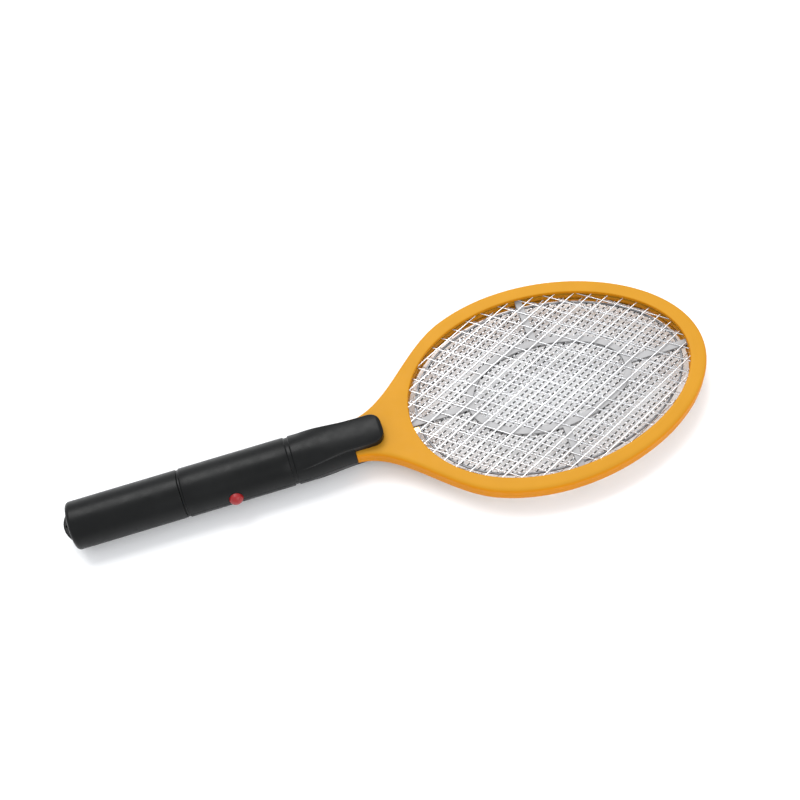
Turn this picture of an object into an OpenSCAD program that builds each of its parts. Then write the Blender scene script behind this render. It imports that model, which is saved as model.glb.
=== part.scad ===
// Battery powered electric fly swatter: a round grip with a red push button, and an oval head
// that holds two guard nets around a live grid. Lengths are in millimetres. The parts are drawn
// along +X from the tail of the grip to the tip of the head, with +Z square to the nets.

/* [Grip] */
// Outer radius of the grip between its two grooves
grip_r = 17.25; // [17.25:0.05:17.6]
// Outer radius of the battery cap
cap_r = 17; // [16.9:0.05:17.1]
// Inner radius of the battery cap and of the grip shells
bore_r = 15.3; // [15.2:0.05:15.4]
// Distance from the end of the lanyard tab to the joint between cap and grip
cap_end = 83; // [82.9:0.1:84.5]
// Distance from the end of the lanyard tab to the second groove
groove_x = 161; // [160:0.5:164]
// Distance from the end of the lanyard tab to the mouth that holds the yoke
mouth_x = 204.5; // [203:0.5:207]
// Distance from the end of the lanyard tab to the tip of the two tongues
tongue_x = 227; // [225:0.5:232]
// Width of each tongue
tongue_w = 22; // [20:0.5:23]
// Half the width of each groove at the surface of the grip
groove_w = 2; // [1.4:0.1:2.4]
// Depth of the grooves
groove_d = 0.8; // [0.4:0.1:1]

/* [Lanyard tab] */
// How far the tab stands out from the end of the cap
tab_out = 5; // [4.5:0.1:5.5]
// Radius of the tab's round edge
tab_r = 14.6; // [13:0.1:16]
// Thickness of the tab
tab_t = 5; // [4:0.5:6]
// Radius of the hole for a wrist loop
loop_r = 1.25; // [1:0.05:1.4]

/* [Button] */
// Distance from the end of the lanyard tab to the middle of the button
button_x = 118; // [117:0.5:121]
// Height of the button above the middle plane of the grip
button_z = 3; // [2:0.5:3]
// Radius of the button
button_r = 4.9; // [4.5:0.1:5]
// How far the button is pressed
button_travel = 1.2; // [0.8:0.1:1.4]
// How far the button stands out of the grip
button_out = 3.8; // [3.4:0.1:4.2]

/* [Head] */
// Length of the oval opening
open_len = 201; // [198:1:206]
// Width of the oval opening
open_w = 137; // [134:1:140]
// How much wider the oval gets from its middle towards the yoke, as a share of its width
egg = 0.07; // [0:0.005:0.08]
// Width of the rim at the tip of the head
rim_tip = 11.5; // [11:0.1:12]
// Width of the rim at the sides of the head
rim_side = 10; // [9.5:0.1:10.5]
// Thickness of the head
head_t = 14; // [13.6:0.1:15]
// Distance from the grip's mouth to the opening
yoke_len = 43; // [42:0.5:45]
// Half the width of the yoke at the grip's mouth
neck_half = 14; // [13:0.5:15]

/* [Nets] */
// Distance between neighbouring guard wires
guard_pitch = 9.3; // [8:0.1:12]
// Radius of the guard wires
guard_r = 0.45; // [0.4:0.05:0.5]
// Distance between neighbouring wires of the live grid
grid_pitch = 3.65; // [3.2:0.05:5]
// Radius of the wires of the live grid
grid_r = 0.3; // [0.25:0.05:0.35]
// Gap between the edge of the opening and the live grid
grid_gap = 4.4; // [4:0.1:6]
// Direction of the upper set of wires, from the length of the swatter
wire_dir_a = 27; // [20:1:35]
// Direction of the lower set of wires
wire_dir_b = -37; // [-45:1:-30]
// Height of the middle of each guard net above the middle of the head
guard_z = 2.9; // [2.85:0.05:3.1]

/* [Braces] */
// Half the length of the oval ring in the middle of each brace
brace_a = 57; // [50:1:64]
// Half the width of that ring
brace_b = 33; // [28:1:40]
// Width of the ring and of the four spokes
brace_w = 5; // [3:0.5:7]

/* [Hidden] */

yellow = "orange";
black = "dimgray";
steel = "silver";
brass = "goldenrod";
tiny = 0.02;

// Head, measured from the middle of the opening
open_a = open_len / 2;
open_b = open_w / 2;
rim_a = open_a + rim_tip;
rim_b = open_b + rim_side;
head_x = mouth_x + yoke_len + open_a;
overall_len = head_x + rim_a;
half_t = head_t / 2;
slot_w = 4;
slot_half = guard_z + 2 * guard_r + tiny * 2;
guard_rim_w = 2.4;
grid_rim_w = 1.4;
shortest_wire = 24;
grid_half = 2 * grid_r + tiny;
guard_half = 2 * guard_r + tiny;
rim_steps = [[0, half_t - 2.4, 0], [half_t - 2.4, half_t - 0.8, 0.9], [half_t - 0.8, half_t, 2.2]];

// Yoke: a curve from the neck to the rim, which it meets at this angle round the oval
yoke_angle = 122.8;
neck_x = mouth_x + 0.3;
tang_x = mouth_x - 36;
tang_half = 10.4;
pocket_x = 236;
terminal_x = head_x - open_a - slot_w - 1.3;
lead_y = 5;
lead_r = 0.9;

// Screws
ring_screws = 8;
ring_screw_in = 5.2;
ring_screw_r = 0.8;
ring_head_r = 1.5;
ring_head_z = half_t - 2.2;
grip_screw_r = 1.3;
tang_screws = [tang_x + 6, tang_x + 28];
board_screw_r = 0.9;
front_screw_x = 112;
screw_head_z = 11;

// Batteries and the cap over them
cap_corner = 3;
cap_x = tab_out + cap_corner;
tray_r = bore_r - 0.08;
tray_x = 20;
tray_end = 98;
bay_x = 24;
bay_end = 84;
cell_r = 7.1;
cell_len = 49.4;
cell_y = 7.45;
nub_len = 1.1;
contact_t = 0.4;
near_cell_x = bay_end - contact_t - 1 - nub_len - cell_len;
far_cell_x = bay_x + contact_t + 1 + nub_len;

// Circuit board and what stands on it
board_x = 100;
board_len = 63;
board_half = 12.5;
board_t = 1.6;
board_top = -5;
board_holes = [[104, 9], [146, -9.5]];

// Switch and button, measured from the axis of the grip towards the button
switch_face = 10.8;
switch_back = 7;
switch_w = 7;
plunger_r = 1.75;
plunger_front = switch_face + button_travel + 0.84;
flange_front = plunger_front + 0.96;
flange_r = button_r + 1.1;
dome_h = 3.4;

// A point of the head's oval, which is an ellipse that widens a little towards the yoke
function oval_point(a, b, t) = [head_x + a * cos(t), b * sin(t) * (1 - egg * cos(t))];
function oval(a, b, n = 90) = [for (i = [0 : n - 1]) oval_point(a, b, i * 360 / n)];
function cubic(p, t) = pow(1 - t, 3) * p[0] + 3 * t * pow(1 - t, 2) * p[1]
    + 3 * t * t * (1 - t) * p[2] + pow(t, 3) * p[3];
function unit(v) = v / norm(v);
function flip(points) = [for (i = [len(points) - 1 : -1 : 0]) [points[i][0], -points[i][1]]];

// Side of the yoke, from the neck to the rim
rim_start = oval_point(rim_a, rim_b, yoke_angle);
rim_heading = unit([rim_a * sin(yoke_angle), rim_b * (egg * cos(2 * yoke_angle) - cos(yoke_angle))]);
yoke_pull = 34;
yoke_side = [[neck_x, neck_half], [neck_x + 30, neck_half + 1], rim_start - yoke_pull * rim_heading, rim_start];
yoke_curve = [for (i = [0 : 11]) cubic(yoke_side, i / 12)];
head_outline = concat(yoke_curve,
    [for (i = [0 : 60]) oval_point(rim_a, rim_b, yoke_angle * (1 - i / 30))], flip(yoke_curve));

// The outline moved inwards by a distance, along the normal at each of its points
function inset(p, d) = [for (i = [0 : len(p) - 1])
    let (along = unit(p[min(i + 1, len(p) - 1)] - p[max(i - 1, 0)]))
        p[i] + d * [along[1], -along[0]]];

// Where a line at this direction and offset from the middle crosses an ellipse: the near (-1) or far (1) end
function ellipse_end(dir, off, a, b, end) =
    let (ux = cos(dir), uy = sin(dir), nx = -sin(dir), ny = cos(dir),
        qa = pow(ux / a, 2) + pow(uy / b, 2),
        qb = 2 * off * (nx * ux / (a * a) + ny * uy / (b * b)),
        qc = off * off * (pow(nx / a, 2) + pow(ny / b, 2)) - 1)
        (end * sqrt(max(qb * qb - 4 * qa * qc, 0)) - qb) / (2 * qa);

// The same for the head's oval, which is an ellipse of this width at each place along its length
function oval_end(dir, off, a, b, end, x = 0, rounds = 12) =
    let (s = ellipse_end(dir, off, a, b * (1 - egg * x / a), end))
        rounds == 0 ? s : oval_end(dir, off, a, b, end, s * cos(dir) - off * sin(dir), rounds - 1);

// Everything is drawn from the lanyard tab along the grip's axis, then set on the floor
module placed(shade) {
    color(shade)
        translate([-overall_len / 2, 0, grip_r])
            children();
}

module tube_x(x, len, r, y = 0, z = 0) {
    translate([x, y, z])
        rotate([0, 90, 0])
            cylinder(h = len, r = r, $fn = 64);
}

// A solid of revolution about the grip's axis, from points of radius and distance
module turned(points) {
    rotate([0, 90, 0])
        rotate_extrude($fn = 96)
            polygon(points);
}

module box(x, y, z) {
    translate([x[0], y[0], z[0]])
        cube([x[1] - x[0], y[1] - y[0], z[1] - z[0]]);
}

// A round lead through a list of points
module lead(points, r) {
    for (i = [0 : len(points) - 2])
        let (d = points[i + 1] - points[i])
            translate(points[i])
                rotate([0, acos(d[2] / norm(d)), atan2(d[1], d[0])])
                    cylinder(h = norm(d), r = r, $fn = 32);
    for (i = [1 : len(points) - 2])
        translate(points[i])
            sphere(r = r, $fn = 32);
}

// Head

module ring_holes(r, z, h) {
    for (i = [0 : ring_screws - 1])
        let (p = oval_point(open_a + ring_screw_in, open_b + ring_screw_in, (i + 0.5) * 360 / ring_screws))
            translate([p[0], p[1], z])
                cylinder(h = h, r = r, $fn = 32);
}

// One half of the head, lying above the middle plane
module frame_half() {
    difference() {
        union() {
            for (s = rim_steps)
                translate([0, 0, s[0]])
                    linear_extrude(s[1] - s[0])
                        polygon(inset(head_outline, s[2]));
            box([tang_x, neck_x + 1], [-tang_half, tang_half], [0, half_t - tiny]);
        }
        translate([0, 0, -1])
            linear_extrude(half_t + 2)
                polygon(oval(open_a, open_b));
        translate([0, 0, -1])
            linear_extrude(slot_half + 1)
                polygon(oval(open_a + slot_w + 0.05, open_b + slot_w + 0.05));
        box([pocket_x, head_x - open_a - 1], [-9, 9], [-1, slot_half]);
        for (side = [-1, 1])
            box([tang_x - 1, pocket_x + 1], [side * lead_y - 1.8, side * lead_y + 1.8], [-1, 1.8]);
        for (x = tang_screws)
            translate([x, 0, -1])
                cylinder(h = head_t, r = grip_screw_r + 0.2, $fn = 32);
    }
}

module frame_front() {
    placed(yellow)
        difference() {
            frame_half();
            ring_holes(ring_screw_r + tiny, -1, half_t - 1);
        }
}

module frame_back() {
    placed(yellow)
        difference() {
            mirror([0, 0, 1])
                frame_half();
            ring_holes(ring_screw_r + 0.12, -half_t - 1, head_t);
            ring_holes(ring_head_r + 0.12, -half_t - 1, half_t + 1 - ring_head_z);
        }
}

module frame_screws() {
    placed(steel) {
        ring_holes(ring_screw_r, -ring_head_z, ring_head_z + half_t - 2.5);
        ring_holes(ring_head_r, -ring_head_z - 1.3, 1.3 - tiny);
    }
}

// One set of parallel wires across an oval
module wires(dir, pitch, r, z, shift, a, b) {
    n = ceil(norm([a * sin(dir), b * cos(dir)]) / pitch);
    for (i = [-n : n])
        let (off = (i + shift) * pitch, near = oval_end(dir, off, a, b, -1), far = oval_end(dir, off, a, b, 1))
            if (far - near > shortest_wire)
                translate([head_x, 0, z])
                    rotate([0, 0, dir])
                        translate([near, off, 0])
                            rotate([0, 90, 0])
                                cylinder(h = far - near, r = r, $fn = 16);
}

// Two crossing sets of wires in a flat oval rim, whose edge stands out from the opening's edge
module net(pitch, r, z, edge, rim_w, shift = 0) {
    half = 2 * r + tiny;
    inner = edge - rim_w;
    wire_end = inner + rim_w / 3;
    translate([0, 0, z - half])
        oval_ring([open_a + edge, open_b + edge], [open_a + inner, open_b + inner], 2 * half);
    for (set = [[wire_dir_a, 1], [wire_dir_b, -1]])
        wires(set[0], pitch, r, z + set[1] * (r + tiny / 2), shift, open_a + wire_end, open_b + wire_end);
}

module front_guard() {
    placed(steel)
        net(guard_pitch, guard_r, guard_z, slot_w, guard_rim_w);
}

module back_guard() {
    placed(steel)
        net(guard_pitch, guard_r, -guard_z, slot_w, guard_rim_w, 0.5);
}

module inner_grid() {
    placed(steel)
        net(grid_pitch, grid_r, 0, -grid_gap, grid_rim_w);
}

// A flat oval ring between two ovals, each given by half its length and half its width
module oval_ring(outer, inner, t) {
    difference() {
        linear_extrude(t)
            polygon(oval(outer[0], outer[1]));
        translate([0, 0, -1])
            linear_extrude(t + 2)
                polygon(oval(inner[0], inner[1]));
    }
}

// Insulating brace that keeps a guard net off the live grid: an oval ring and four spokes
brace_low = grid_half + tiny;
brace_t = guard_z - guard_half - tiny - brace_low;
spoke_in = 2.5;

module brace() {
    w = brace_w / 2;
    spoke_a = open_a + spoke_in - brace_a;
    spoke_b = open_b + spoke_in - brace_b;
    translate([0, 0, brace_low]) {
        oval_ring([brace_a + w, brace_b + w], [brace_a - w, brace_b - w], brace_t);
        for (end = [-1, 1]) {
            translate([head_x + end * (brace_a + spoke_a / 2), 0, brace_t / 2])
                cube([spoke_a, brace_w, brace_t], center = true);
            translate([head_x, end * (brace_b + spoke_b / 2), brace_t / 2])
                cube([brace_w, spoke_b, brace_t], center = true);
        }
    }
}

module front_brace() {
    placed("gainsboro")
        brace();
}

module back_brace() {
    placed("gainsboro")
        mirror([0, 0, 1])
            brace();
}

// Ring in the wall of the opening, on which a guard net lies, with notches for the spokes of a brace
module spacer() {
    notch_w = brace_w / 2 + 0.05;
    notch_a = open_a + spoke_in + 0.1;
    notch_b = open_b + spoke_in + 0.1;
    difference() {
        translate([0, 0, tiny / 2])
            oval_ring([open_a + slot_w, open_b + slot_w], [open_a, open_b], brace_low + brace_t - tiny / 2);
        box([head_x - notch_a, head_x + notch_a], [-notch_w, notch_w], [brace_low - tiny, half_t]);
        box([head_x - notch_w, head_x + notch_w], [-notch_b, notch_b], [brace_low - tiny, half_t]);
        box([head_x - open_a - slot_w - 1, head_x - open_a + 2], [-7.1, -2.9], [-1, 0.5]);
    }
}

module front_spacer() {
    placed(yellow)
        spacer();
}

module back_spacer() {
    placed(yellow)
        mirror([0, 0, 1])
            spacer();
}

// Bridge that joins the two guard nets
module guard_terminal() {
    placed(brass) {
        box([terminal_x - 0.5, terminal_x], [2, 8], [-guard_z - 0.6, guard_z + 0.6]);
        for (side = [-1, 1])
            box([terminal_x, terminal_x + 1.2], [3, 7],
                [side * guard_z - 0.5, side * guard_z + 0.5]);
    }
}

module inner_terminal() {
    placed(brass) {
        box([terminal_x - 0.5, terminal_x], [-8, -2], [-2, 2]);
        box([terminal_x, head_x - open_a + grid_gap - 0.1], [-7, -3], [-0.4, 0.4]);
    }
}

module head_lead(side) {
    lead([[162, side * lead_y, board_top], [162, side * lead_y, 0],
        [terminal_x - 0.5, side * lead_y, 0]], lead_r);
}

module guard_lead() {
    placed("black")
        head_lead(1);
}

module inner_lead() {
    placed("red")
        head_lead(-1);
}

// Grip

shell_x = cap_end + 0.3;
swell_x = groove_x + 7;
tongue_profile = [[0, swell_x - 4], [grip_r, swell_x - 4], [grip_r, swell_x],
    [grip_r - 0.7, mouth_x - 8], [grip_r - 1.3, mouth_x + 8], [grip_r - 2.2, tongue_x - 4],
    [grip_r - 2.9, tongue_x - 1.4], [grip_r - 4.4, tongue_x], [0, tongue_x]];
groove_half = groove_w / 2;
body_profile = [[0, shell_x], [grip_r - groove_d, shell_x], [grip_r - groove_d, shell_x + groove_half],
    [grip_r, shell_x + groove_w], [grip_r, groove_x - groove_w], [grip_r - groove_d, groove_x - groove_half],
    [grip_r - groove_d, groove_x + groove_half], [grip_r, groove_x + groove_w], [grip_r, swell_x],
    [grip_r - 1, mouth_x - 14], [grip_r - 2, mouth_x], [0, mouth_x]];
cavity_profile = [[0, shell_x - 1], [bore_r, shell_x - 1], [bore_r, tang_x - 10],
    [bore_r - 2.2, mouth_x - 10], [bore_r - 2.4, mouth_x - 2], [0, mouth_x - 2]];

module tongue() {
    corner = 8;
    intersection() {
        turned(tongue_profile);
        union() {
            box([swell_x - 4, tongue_x - corner], [-tongue_w / 2, tongue_w / 2],
                [half_t + 0.2, grip_r + 1]);
            box([tongue_x - corner - 1, tongue_x], [-tongue_w / 2 + corner, tongue_w / 2 - corner],
                [half_t + 0.2, grip_r + 1]);
            for (side = [-1, 1])
                translate([tongue_x - corner, side * (tongue_w / 2 - corner), half_t + 0.2])
                    cylinder(h = grip_r - half_t, r = corner, $fn = 64);
        }
    }
}

// One half of the grip, lying above the middle plane. Side -1 is for the half that is then turned over
module shell_half(side) {
    difference() {
        union() {
            intersection() {
                turned(body_profile);
                box([shell_x - 1, mouth_x + 1], [-20, 20], [0, 20]);
            }
            tongue();
        }
        turned(cavity_profile);
        box([mouth_x - 4, mouth_x + 1], [-tang_half - 0.1, tang_half + 0.1], [-1, half_t + 0.05]);
        box([mouth_x, tongue_x + 1], [-20, 20], [-1, half_t + 0.2]);
        translate([button_x, 0, side * button_z])
            rotate([90, 0, 0])
                cylinder(h = 2 * grip_r, r = button_r + 0.3, $fn = 64);
    }
    for (x = tang_screws)
        translate([x, 0, half_t])
            cylinder(h = 13.9 - half_t, r = 4, $fn = 48);
    translate([front_screw_x, 0, 0])
        cylinder(h = bore_r + 0.6, r = 3.2, $fn = 48);
}

module handle_upper() {
    placed(black)
        difference() {
            shell_half(1);
            for (x = tang_screws)
                translate([x, 0, half_t - 1])
                    cylinder(h = 6, r = grip_screw_r + 0.04, $fn = 32);
            translate([front_screw_x, 0, -1])
                cylinder(h = 11, r = grip_screw_r + 0.04, $fn = 32);
        }
}

module handle_lower() {
    placed(black)
        difference() {
            union() {
                mirror([0, 0, 1])
                    shell_half(-1);
                for (p = board_holes)
                    translate([p[0], p[1], -13.4])
                        cylinder(h = 13.4 + board_top - board_t, r = 2.2, $fn = 32);
            }
            for (x = concat(tang_screws, [front_screw_x])) {
                translate([x, 0, -20])
                    cylinder(h = 21, r = grip_screw_r + 0.2, $fn = 32);
                translate([x, 0, -20])
                    cylinder(h = 20 - screw_head_z, r = 2.75, $fn = 32);
            }
            for (p = board_holes)
                translate([p[0], p[1], -12.5])
                    cylinder(h = 8, r = board_screw_r + 0.04, $fn = 32);
        }
}

module handle_screws() {
    placed(steel)
        for (s = concat([for (x = tang_screws) [x, half_t + 4.6]], [[front_screw_x, 9.4]])) {
            translate([s[0], 0, -screw_head_z - tiny])
                cylinder(h = s[1] + screw_head_z, r = grip_screw_r, $fn = 32);
            difference() {
                translate([s[0], 0, -screw_head_z - 2])
                    cylinder(h = 2 - tiny, r = 2.6, $fn = 32);
                for (turn = [0, 90])
                    translate([s[0], 0, -screw_head_z - 2])
                        rotate([0, 0, turn])
                            cube([3, 0.6, 1.6], center = true);
            }
        }
}

// Sleeve over the batteries that pulls off the grip
module battery_cap() {
    lip = 0.7;
    placed(black)
        difference() {
            turned([[0, cap_x], [cap_r, cap_x], [cap_r, cap_end - lip], [cap_r - lip, cap_end], [0, cap_end]]);
            tube_x(cap_x - 1, cap_end, bore_r);
        }
}

// Round end of the sleeve, with a half-round tab for a wrist loop
module cap_end_plug() {
    placed(black)
        difference() {
            union() {
                turned(concat([[0, tab_out], [cap_r - cap_corner, tab_out]],
                    [for (t = [15 : 15 : 75])
                        [cap_r - cap_corner * (1 - sin(t)), cap_x - cap_corner * cos(t)]],
                    [[cap_r, cap_x], [0, cap_x]]));
                intersection() {
                    translate([tab_r, 0, 0])
                        cylinder(h = tab_t, r = tab_r, center = true, $fn = 96);
                    box([-1, tab_out + 1], [-20, 20], [-20, 20]);
                }
            }
            tube_x(cap_x - 0.6, 2, bore_r);
            translate([tab_out - 2.3, 0, 0])
                cylinder(h = tab_t + 2, r = loop_r, center = true, $fn = 32);
        }
}

// Cradle for two cells, fixed in the grip and open above
module battery_tray() {
    placed("darkslategray")
        difference() {
            tube_x(tray_x, tray_end - tray_x, tray_r);
            for (side = [-1, 1]) {
                tube_x(bay_x, bay_end - bay_x, cell_r + 0.2, side * cell_y);
                tube_x(bay_end - 1, tray_end - bay_end + 2, 2, side * cell_y);
            }
            box([bay_x, bay_end], [-20, 20], [2.5, 20]);
            for (x = [bay_x, bay_end - contact_t])
                box([x, x + contact_t], [-14, 14], [-6, 3]);
            box([bay_end, tray_end + 1], [-20, 20], [8, 20]);
        }
}

module cell(x, side, plus) {
    tube_x(x, cell_len, cell_r, side * cell_y);
    tube_x(plus > 0 ? x + cell_len - tiny : x - nub_len, nub_len + tiny, 2.7, side * cell_y);
}

module cell_near() {
    placed("steelblue")
        cell(near_cell_x, -1, 1);
}

module cell_far() {
    placed("steelblue")
        cell(far_cell_x, 1, -1);
}

module tail_contact() {
    placed(steel) {
        box([bay_x, bay_x + contact_t], [-13, 13], [-5.5, 2.4]);
        tube_x(bay_x + contact_t - tiny, 1, 2.2, cell_y);
    }
}

module spring(x, len, y) {
    difference() {
        tube_x(x, len, 3.9, y);
        tube_x(x - 1, len + 2, 3.1, y);
    }
}

module tail_spring() {
    placed(steel)
        spring(bay_x + contact_t, near_cell_x - bay_x - contact_t, -cell_y);
}

module front_spring() {
    end = far_cell_x + cell_len;
    placed(steel)
        spring(end, bay_end - contact_t - end, cell_y);
}

module front_contact(side, bump) {
    x = bay_end - contact_t;
    box([x, bay_end], [side * cell_y - 5, side * cell_y + 5], [-5.5, 2.4]);
    if (bump)
        tube_x(x - 1 + tiny, 1, 2.2, side * cell_y);
}

module positive_contact() {
    placed(steel)
        front_contact(-1, true);
}

module negative_contact() {
    placed(steel)
        front_contact(1, false);
}

module supply_lead(side) {
    lead([[bay_end, side * cell_y, 0], [100.9, side * cell_y, 0], [100.9, side * cell_y, board_top]], 0.75);
}

module positive_lead() {
    placed("red")
        supply_lead(-1);
}

module negative_lead() {
    placed("black")
        supply_lead(1);
}

// Electronics

module circuit_board() {
    placed("forestgreen")
        difference() {
            box([board_x, board_x + board_len], [-board_half, board_half], [board_top - board_t, board_top]);
            translate([front_screw_x, 0, board_top - 3])
                cylinder(h = 6, r = 3.6, $fn = 48);
            box([button_x - 8, button_x + 8], [-board_half - 1, -switch_face - 0.1],
                [board_top - 3, board_top + 1]);
            for (p = board_holes)
                translate([p[0], p[1], board_top - 3])
                    cylinder(h = 6, r = board_screw_r + 0.1, $fn = 32);
        }
}

module board_screws() {
    placed(steel)
        for (p = board_holes)
            translate([p[0], p[1], 0]) {
                translate([0, 0, -12])
                    cylinder(h = 12 + board_top + 0.1, r = board_screw_r, $fn = 32);
                translate([0, 0, board_top])
                    cylinder(h = 1.2, r = 1.9, $fn = 32);
            }
}

// Core with two windows, around a middle leg
leg_z = [0.8, 3.2];

module transformer_core() {
    placed("darkgray")
        difference() {
            box([129, 145], [-3, 3], [board_top, 9]);
            for (z = [[-2.6, leg_z[0]], [leg_z[1], 6.6]])
                box([131.5, 142.5], [-4, 4], z);
        }
}

module transformer_winding() {
    placed("chocolate")
        difference() {
            box([131.7, 142.3], [-6, 6], [-2.5, 6.5]);
            box([131, 143], [-3.05, 3.05], [leg_z[0] - 0.05, leg_z[1] + 0.05]);
        }
}

module storage_capacitor() {
    placed("firebrick")
        box([149, 160], [2, 10], [board_top, 4.5]);
}

module multiplier_capacitors() {
    placed("royalblue")
        for (x = [149.5, 153.3, 157.1])
            tube_x(x, 2.2, 3.4, -5.6, board_top + 3.45);
}

module diodes() {
    placed("black")
        for (x = [118.5, 121.8, 125.1])
            translate([x, 8, board_top + 1.35])
                rotate([90, 0, 0])
                    cylinder(h = 5.4, r = 1.3, $fn = 32);
}

module resistors() {
    placed("tan")
        for (x = [103.4, 106.2])
            translate([x, -2, board_top + 1.05])
                rotate([90, 0, 0])
                    cylinder(h = 6.2, r = 1, $fn = 32);
}

// Plastic body with one flat side, standing on three legs
module transistor() {
    placed("black") {
        intersection() {
            translate([112, 8, -2])
                cylinder(h = 4.8, r = 2.4, $fn = 48);
            box([109, 113.4], [5, 11], [-3, 4]);
        }
        for (y = [-1.3, 0, 1.3])
            box([111.8, 112.2], [7.8 + y, 8.2 + y], [board_top, -2 + tiny]);
    }
}

// Switch and button

module along_y(from, to, r) {
    translate([button_x, -to, button_z])
        rotate([90, 0, 0])
            cylinder(h = from - to, r = r, $fn = 64);
}

module switch_housing() {
    placed("black")
        difference() {
            box([button_x - switch_w / 2, button_x + switch_w / 2], [-switch_face, -switch_back],
                [board_top, button_z + 3.5]);
            along_y(switch_face + 1, switch_back + 0.4, plunger_r + 0.06);
        }
}

module switch_plunger() {
    placed("white")
        along_y(plunger_front, switch_face - 1.8, plunger_r);
}

module power_button() {
    dome_r = (button_r * button_r + dome_h * dome_h) / (2 * dome_h);
    top = grip_r + button_out;
    placed("crimson") {
        intersection() {
            along_y(flange_front, plunger_front + 0.01, flange_r);
            tube_x(button_x - flange_r - 1, 2 * flange_r + 2, bore_r - 0.1);
        }
        intersection() {
            along_y(top, flange_front - 0.8, button_r);
            translate([button_x, -top + dome_r, button_z])
                sphere(r = dome_r, $fn = 96);
        }
    }
}

frame_front();
frame_back();
front_guard();
back_guard();
inner_grid();
front_brace();
back_brace();
front_spacer();
back_spacer();
frame_screws();
guard_terminal();
inner_terminal();
guard_lead();
inner_lead();
handle_upper();
handle_lower();
handle_screws();
battery_cap();
cap_end_plug();
battery_tray();
cell_near();
cell_far();
tail_contact();
tail_spring();
front_spring();
negative_contact();
positive_contact();
positive_lead();
negative_lead();
circuit_board();
board_screws();
transformer_core();
transformer_winding();
storage_capacitor();
multiplier_capacitors();
diodes();
resistors();
transistor();
switch_housing();
switch_plunger();
power_button();
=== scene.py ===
import math

import bmesh
import bpy
import numpy as np
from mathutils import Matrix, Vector


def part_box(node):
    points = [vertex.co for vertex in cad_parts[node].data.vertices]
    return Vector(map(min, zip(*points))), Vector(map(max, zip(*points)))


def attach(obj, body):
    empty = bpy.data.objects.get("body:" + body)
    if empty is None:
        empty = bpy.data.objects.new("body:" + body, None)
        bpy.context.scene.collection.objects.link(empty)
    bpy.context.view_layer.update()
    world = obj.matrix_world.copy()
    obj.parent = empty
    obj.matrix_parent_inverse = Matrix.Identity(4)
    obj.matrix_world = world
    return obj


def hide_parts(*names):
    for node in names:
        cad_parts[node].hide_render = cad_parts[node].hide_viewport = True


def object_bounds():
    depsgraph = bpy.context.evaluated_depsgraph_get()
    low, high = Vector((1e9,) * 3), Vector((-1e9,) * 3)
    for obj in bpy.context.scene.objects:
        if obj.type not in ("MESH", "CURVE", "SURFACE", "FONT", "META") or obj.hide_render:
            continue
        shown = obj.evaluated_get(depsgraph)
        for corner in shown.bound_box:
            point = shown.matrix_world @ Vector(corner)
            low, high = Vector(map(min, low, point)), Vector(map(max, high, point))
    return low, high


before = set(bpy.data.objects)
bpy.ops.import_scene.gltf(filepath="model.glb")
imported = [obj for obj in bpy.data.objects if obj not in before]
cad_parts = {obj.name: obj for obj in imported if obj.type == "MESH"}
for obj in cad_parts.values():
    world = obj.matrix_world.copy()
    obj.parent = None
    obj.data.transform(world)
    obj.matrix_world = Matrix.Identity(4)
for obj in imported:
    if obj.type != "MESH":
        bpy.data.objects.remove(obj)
cad_low, cad_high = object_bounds()

# Shapes are worked out in millimetres from the tip of the lanyard tab, on the grip's axis:
# +X runs to the head and +Z is square to the nets. place() sets them in the shared frame.
MM = 0.001
TINY = 0.02  # a gap or overlap that keeps two faces from lying in each other
ORIGIN = Vector((
    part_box("cap_end_plug")[0].x,
    0.0,
    (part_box("battery_cap")[0].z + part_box("battery_cap")[1].z) / 2,
))


def span(node, axis):
    """Lowest and highest place of a CAD node along an axis, in millimetres from the tab."""
    low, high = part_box(node)
    return (low[axis] - ORIGIN[axis]) / MM, (high[axis] - ORIGIN[axis]) / MM


def middle(node, axis):
    """The middle of a CAD node along an axis, in the same terms."""
    return sum(span(node, axis)) / 2


# Grip
CAP_START, CAP_END = span("battery_cap", 0)
CAP_R = span("battery_cap", 1)[1]
CAP_BORE = 15.3
SHELL_X, TONGUE_X = span("handle_upper", 0)
GRIP_R = span("handle_upper", 2)[1]
BORE_R = 15.3
GROOVE_X = 161.0
GROOVE_FLOOR = 1.0
GROOVE_HALF = 2.0
GROOVE_DEPTH = 0.8
SWELL_X = GROOVE_X + 7
TANG_X, TIP_X = span("frame_front", 0)
MOUTH_X = TANG_X + 36
MOUTH_R = GRIP_R - 2
MOUTH_ROUND = 0.7
TONGUE_HALF = 11.0
TONGUE_SPREAD = 3.0
TONGUE_CORNER = 8.0
TONGUE_EDGE = 1.6
TONGUE_CROWN = 34.0
SEAM = 0.22  # chamfer along the joint of two halves
SCREW_X = (TANG_X + 6, TANG_X + 28, 112.0)
GRIP_SCREW_R = 1.3
SCREW_SEAT = 11.0
BOARD_POST_R, BOARD_SCREW_R = 2.2, 0.94
TAB_R, TAB_HALF, TAB_EDGE = 14.6, 2.5, 1.0
TAB_HOLE_R, TAB_HOLE_IN = 1.25, 2.3

# Button
BUTTON_X = middle("power_button", 0)
BUTTON_Z = middle("switch_plunger", 2)
BUTTON_OUT = -span("power_button", 1)[0]
BUTTON_BACK = -span("power_button", 1)[1]
FLANGE_R = span("power_button", 0)[1] - BUTTON_X
FLANGE_FRONT = 13.8
BUTTON_R = 4.9

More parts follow.
